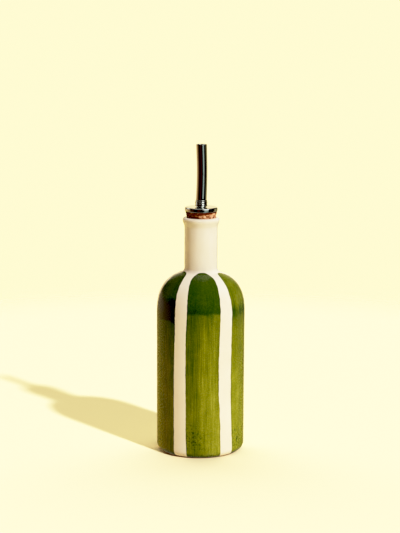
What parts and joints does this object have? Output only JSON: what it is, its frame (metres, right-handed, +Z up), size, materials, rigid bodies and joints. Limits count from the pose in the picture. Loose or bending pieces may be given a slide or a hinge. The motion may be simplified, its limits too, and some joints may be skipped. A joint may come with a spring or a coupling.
{
  "type": "ceramic oil bottle",
  "caption": "Glazed ceramic oil bottle with a straight round body, domed shoulder, slim neck, painted stripes, and a cork stopper that carries a steel cap and pouring tube.",
  "frame": {"origin": "centre of the foot, on the surface that the bottle stands on", "axes": "+Z up along the axis of the body, neck and pouring tube; -Y is the side that the picture shows, with a stripe in the middle"},
  "size_m": [0.074, 0.074, 0.2585],
  "materials": {
    "glaze": "cream gloss glaze with brushed green stripes",
    "cork": "pressed cork grains, matt",
    "steel": "polished"
  },
  "bodies": {
    "root": {"bottle": "glaze", "cork": "cork", "cap_disc": "steel", "collar": "steel", "spout_tube": "steel"}
  },
  "joints": []
}
